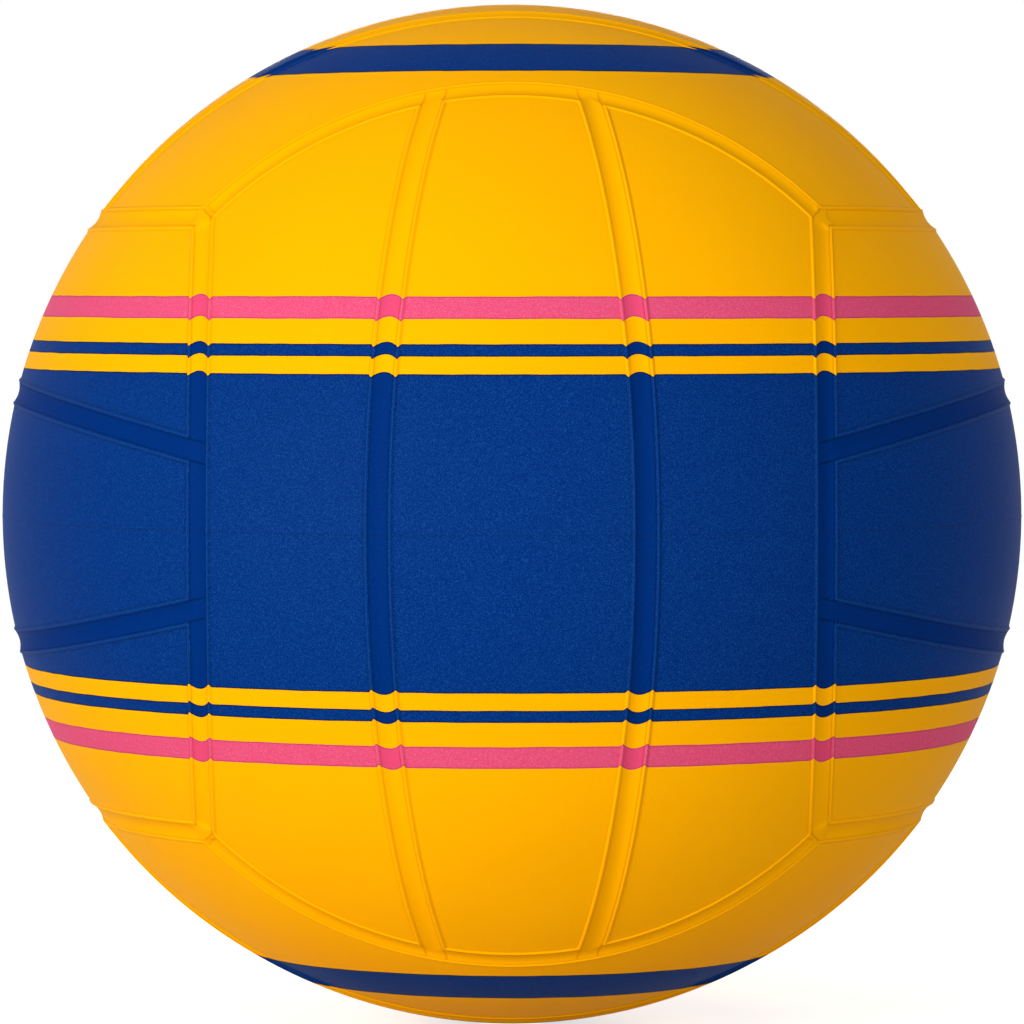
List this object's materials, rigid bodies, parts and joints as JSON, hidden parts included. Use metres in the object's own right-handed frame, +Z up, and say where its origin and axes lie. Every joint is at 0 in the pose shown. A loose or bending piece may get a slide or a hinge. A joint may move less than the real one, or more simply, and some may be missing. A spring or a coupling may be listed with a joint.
{
  "type": "water polo ball",
  "caption": "Inflatable rubber water polo ball: lipped panels in grouped bands with sunk seam channels, over a wound bladder, with a needle valve whose core pulls out.",
  "frame": {"origin": "centre of the ball", "axes": "+Z up, -Y out of the front group of panels, +Y out of the valve, +X to the right seen from the front"},
  "size_m": [0.22, 0.2199, 0.22],
  "materials": {
    "panel_rubber": "matte grained",
    "seam_rubber": "matte smooth",
    "carcass_rubber": "matte",
    "nylon_thread": "wound thread",
    "bladder_butyl": "satin",
    "valve_butyl": "satin",
    "core_rubber": "satin"
  },
  "bodies": {
    "ball": {"front_left_panel": "panel_rubber", "front_middle_panel": "panel_rubber", "front_right_panel": "panel_rubber", "back_left_panel": "panel_rubber", "back_middle_panel": "panel_rubber", "back_right_panel": "panel_rubber", "bottom_front_panel": "panel_rubber", "bottom_middle_panel": "panel_rubber", "bottom_rear_panel": "panel_rubber", "top_front_panel": "panel_rubber", "top_middle_panel": "panel_rubber", "top_rear_panel": "panel_rubber", "left_lower_panel": "panel_rubber", "left_middle_panel": "panel_rubber", "left_upper_panel": "panel_rubber", "right_lower_panel": "panel_rubber", "right_middle_panel": "panel_rubber", "right_upper_panel": "panel_rubber", "front_left_seam": "seam_rubber", "front_right_seam": "seam_rubber", "back_left_seam": "seam_rubber", "back_right_seam": "seam_rubber", "bottom_front_seam": "seam_rubber", "bottom_rear_seam": "seam_rubber", "top_front_seam": "seam_rubber", "top_rear_seam": "seam_rubber", "left_lower_seam": "seam_rubber", "left_upper_seam": "seam_rubber", "right_lower_seam": "seam_rubber", "right_upper_seam": "seam_rubber", "front_to_bottom_seam": "seam_rubber", "front_to_top_seam": "seam_rubber", "back_to_bottom_seam": "seam_rubber", "back_to_top_seam": "seam_rubber", "bottom_to_left_seam": "seam_rubber", "bottom_to_right_seam": "seam_rubber", "top_to_left_seam": "seam_rubber", "top_to_right_seam": "seam_rubber", "left_to_front_seam": "seam_rubber", "left_to_back_seam": "seam_rubber", "right_to_front_seam": "seam_rubber", "right_to_back_seam": "seam_rubber", "carcass": "carcass_rubber", "winding": "nylon_thread", "bladder": "bladder_butyl", "valve_housing": "valve_butyl"},
    "valve_core": {"valve_core": "core_rubber"}
  },
  "joints": [
    {"name": "valve_core_pull", "type": "slide", "parent": "ball", "child": "valve_core", "axis": [0, 1, 0], "range_m": [0, 0.02]}
  ]
}
